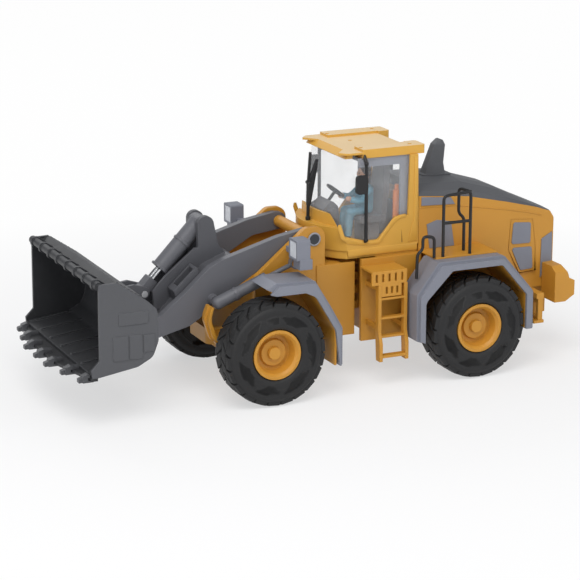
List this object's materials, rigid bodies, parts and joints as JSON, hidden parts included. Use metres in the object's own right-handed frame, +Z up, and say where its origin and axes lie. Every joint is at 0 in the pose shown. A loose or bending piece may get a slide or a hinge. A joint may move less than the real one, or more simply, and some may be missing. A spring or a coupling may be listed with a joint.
{
  "type": "toy front loader",
  "caption": "Toy wheel loader with articulated steering, a lifting boom, a tilting toothed bucket, ribbed tyres and a glazed cab with a driver.",
  "frame": {"origin": "bottom centre of the bounding box, on the ground between the wheels", "axes": "+X forward to the bucket, +Y to the machine's left, +Z up"},
  "size_m": [0.482, 0.18, 0.2],
  "materials": {
    "yellow_body": "satin",
    "yellow_cab": "satin",
    "grey_boom": "satin",
    "grey_bucket": "matte",
    "grey_trim": "satin",
    "dark_grey": "matte",
    "black": "satin",
    "tyre": "matte",
    "chrome": "polished",
    "steel": "brushed",
    "clear": "clear",
    "lens": "gloss",
    "blue": "matte",
    "orange": "gloss",
    "battery": "gloss",
    "board": "matte",
    "white_plastic": "matte"
  },
  "bodies": {
    "chassis": {"rear_chassis": "yellow_body", "battery_door": "black", "battery_pack": "battery", "circuit_board": "board", "steering_motor": "white_plastic", "steering_pin": "steel", "drive_motor": "steel", "engine_cover": "yellow_body", "engine_lid": "dark_grey", "exhaust_stack": "dark_grey", "side_panels": "grey_trim", "rear_fenders": "grey_trim", "rear_arch_sheets": "yellow_body", "service_decks": "yellow_body", "rear_bumper": "yellow_body", "rear_steps": "yellow_body", "handrails": "black", "ladders": "yellow_body", "cab_shell": "yellow_cab", "cab_glazing": "clear", "cab_roof": "yellow_cab", "cab_inner_frame": "grey_trim", "cab_mirrors": "black", "seat": "dark_grey", "driver": "blue", "dashboard": "dark_grey", "steering_wheel": "black", "extinguisher": "orange"},
    "front": {"front_frame": "yellow_body", "front_belly_cover": "yellow_body", "tower_cross_tube": "yellow_body", "front_fenders": "grey_trim", "front_arch_sheets": "yellow_body", "work_light_housings": "grey_trim", "work_light_lenses": "lens", "boom_pivot_pins": "steel"},
    "boom": {"lift_arm_left": "grey_boom", "lift_arm_right": "grey_boom", "boom_crossbox": "grey_bucket"},
    "bucket": {"bucket_shell": "grey_bucket", "bucket_lip": "grey_bucket", "bucket_teeth": "grey_bucket", "bucket_hinge_bracket": "grey_bucket", "bucket_pins": "steel"},
    "tilt_barrel": {"tilt_barrel": "grey_boom"},
    "tilt_rod": {"tilt_rods": "chrome", "tilt_clevis": "grey_boom"},
    "lift_barrel_left": {"lift_barrel_left": "grey_boom"},
    "lift_barrel_right": {"lift_barrel_right": "grey_boom"},
    "lift_rod_left": {"lift_rod_left": "chrome"},
    "lift_rod_right": {"lift_rod_right": "chrome"},
    "front_wheels": {"front_axle": "steel", "front_rims": "yellow_body", "front_tyres": "tyre"},
    "rear_wheels": {"rear_axle": "steel", "rear_rims": "yellow_body", "rear_tyres": "tyre"},
    "pinion": {"drive_pinion": "steel"},
    "switch": {"power_switch": "black"}
  },
  "joints": [
    {"name": "steer_articulation", "type": "hinge", "parent": "chassis", "child": "front", "pos_m": [-0.035, 0, 0.076], "axis": [0, 0, 1], "range_deg": [-20, 20]},
    {"name": "boom_lift", "type": "hinge", "parent": "front", "child": "boom", "pos_m": [0.006, 0, 0.1275], "axis": [0, -1, 0], "range_deg": [-10.5, 42]},
    {"name": "bucket_tilt", "type": "hinge", "parent": "boom", "child": "bucket", "pos_m": [0.154, 0, 0.066], "axis": [0, -1, 0], "range_deg": [-60, 10]},
    {"name": "tilt_barrel_swing", "type": "hinge", "parent": "boom", "child": "tilt_barrel", "pos_m": [0.093, 0, 0.142], "axis": [0, -1, 0], "range_deg": [-2, 10.5]},
    {"name": "tilt_rod_slide", "type": "slide", "parent": "tilt_barrel", "child": "tilt_rod", "axis": [0.6939, 0, -0.7201], "range_m": [-0.003, 0.018]},
    {"name": "lift_barrel_left_swing", "type": "hinge", "parent": "boom", "child": "lift_barrel_left", "pos_m": [0.096, 0.0492, 0.084], "axis": [0, -1, 0], "range_deg": [-3, 10.5]},
    {"name": "lift_rod_left_slide", "type": "slide", "parent": "lift_barrel_left", "child": "lift_rod_left", "axis": [-0.933, 0, 0.3599], "range_m": [-0.003, 0.0115]},
    {"name": "lift_barrel_right_swing", "type": "hinge", "parent": "boom", "child": "lift_barrel_right", "pos_m": [0.096, -0.0492, 0.084], "axis": [0, -1, 0], "range_deg": [-3, 10.5]},
    {"name": "lift_rod_right_slide", "type": "slide", "parent": "lift_barrel_right", "child": "lift_rod_right", "axis": [-0.933, 0, 0.3599], "range_m": [-0.003, 0.0115]},
    {"name": "front_wheels_spin", "type": "hinge", "parent": "front", "child": "front_wheels", "pos_m": [0.06, 0, 0.045], "axis": [0, 1, 0], "continuous": true},
    {"name": "rear_wheels_spin", "type": "hinge", "parent": "chassis", "child": "rear_wheels", "pos_m": [-0.13, 0, 0.045], "axis": [0, 1, 0], "continuous": true},
    {"name": "pinion_spin", "type": "hinge", "parent": "chassis", "child": "pinion", "pos_m": [-0.1215, 0.014, 0.045], "axis": [0, 1, 0], "continuous": true},
    {"name": "power_switch_slide", "type": "slide", "parent": "chassis", "child": "switch", "axis": [1, 0, 0], "range_m": [0, 0.003]}
  ],
  "couplings": [
    {"joint": "tilt_barrel_swing", "follows": "bucket_tilt", "ratio": -0.15761},
    {"joint": "tilt_rod_slide", "follows": "bucket_tilt", "m_per_rad": -0.016717},
    {"joint": "pinion_spin", "follows": "rear_wheels_spin", "ratio": -2.4},
    {"joint": "lift_barrel_left_swing", "follows": "boom_lift", "ratio": 0.242},
    {"joint": "lift_rod_left_slide", "follows": "boom_lift", "m_per_rad": 0.0151},
    {"joint": "lift_barrel_right_swing", "follows": "boom_lift", "ratio": 0.242},
    {"joint": "lift_rod_right_slide", "follows": "boom_lift", "m_per_rad": 0.0151}
  ]
}
